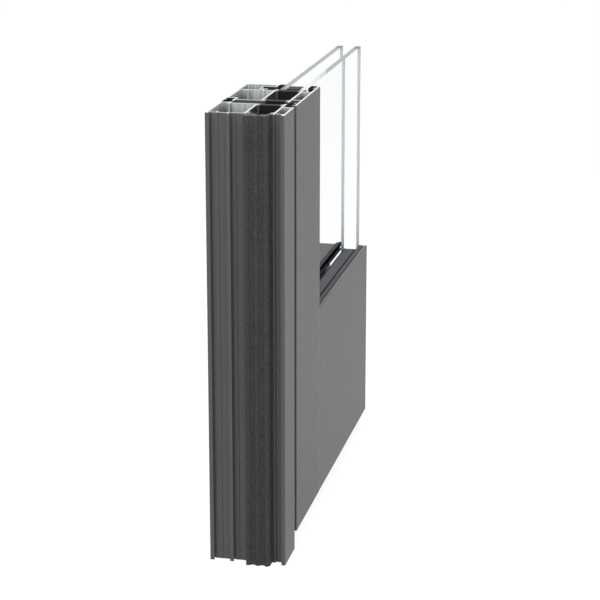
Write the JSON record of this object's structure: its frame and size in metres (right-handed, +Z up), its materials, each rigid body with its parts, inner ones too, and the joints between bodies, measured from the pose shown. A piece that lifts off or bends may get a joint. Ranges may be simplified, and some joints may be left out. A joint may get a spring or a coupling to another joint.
{
  "type": "front door corner section",
  "caption": "Cut corner of an aluminium front door: jamb on the floor, swinging leaf with stile, bottom rail, bead, gaskets and double glazing.",
  "frame": {"origin": "middle of the jamb's foot, on the web of its inner shell that faces the thermal break", "axes": "+X across the door from the wall to the glass, +Y from outdoors to the room, +Z up"},
  "size_m": [0.4428, 0.075, 0.442],
  "materials": {
    "coated_aluminium": "matt grey powder coat outside, bare metal in the hollows and on the cut ends",
    "ribbed_polyamide": "dark grainy glass-fibre plastic",
    "polyamide": "matt black glass-fibre plastic",
    "gasket_rubber": "matt black rubber",
    "glass": "clear float glass with a faint green edge",
    "spacer": "dark blue-grey warm-edge bar",
    "edge_sealant": "dark sealant"
  },
  "bodies": {
    "frame": {"inner_stop_gasket": "gasket_rubber", "jamb_inner_shell": "coated_aluminium", "jamb_leaf_strip": "polyamide", "jamb_outer_shell": "coated_aluminium", "jamb_wall_strip": "ribbed_polyamide"},
    "leaf": {"edge_seal": "edge_sealant", "inner_pane": "glass", "outer_pane": "glass", "outer_stop_gasket": "gasket_rubber", "rail_bead": "coated_aluminium", "rail_floor_strip": "polyamide", "rail_glass_strip": "polyamide", "rail_inner_gasket": "gasket_rubber", "rail_inner_shell": "coated_aluminium", "rail_outer_gasket": "gasket_rubber", "rail_outer_shell": "coated_aluminium", "setting_block": "polyamide", "spacer_bar": "spacer", "stile_bead": "coated_aluminium", "stile_frame_strip": "polyamide", "stile_glass_strip": "polyamide", "stile_inner_gasket": "gasket_rubber", "stile_inner_shell": "coated_aluminium", "stile_outer_gasket": "gasket_rubber", "stile_outer_shell": "coated_aluminium"}
  },
  "joints": [
    {"name": "leaf_swing", "type": "hinge", "parent": "frame", "child": "leaf", "pos_m": [0.02, -0.0485, 0], "axis": [0, 0, -1], "range_deg": [0, 90]}
  ]
}
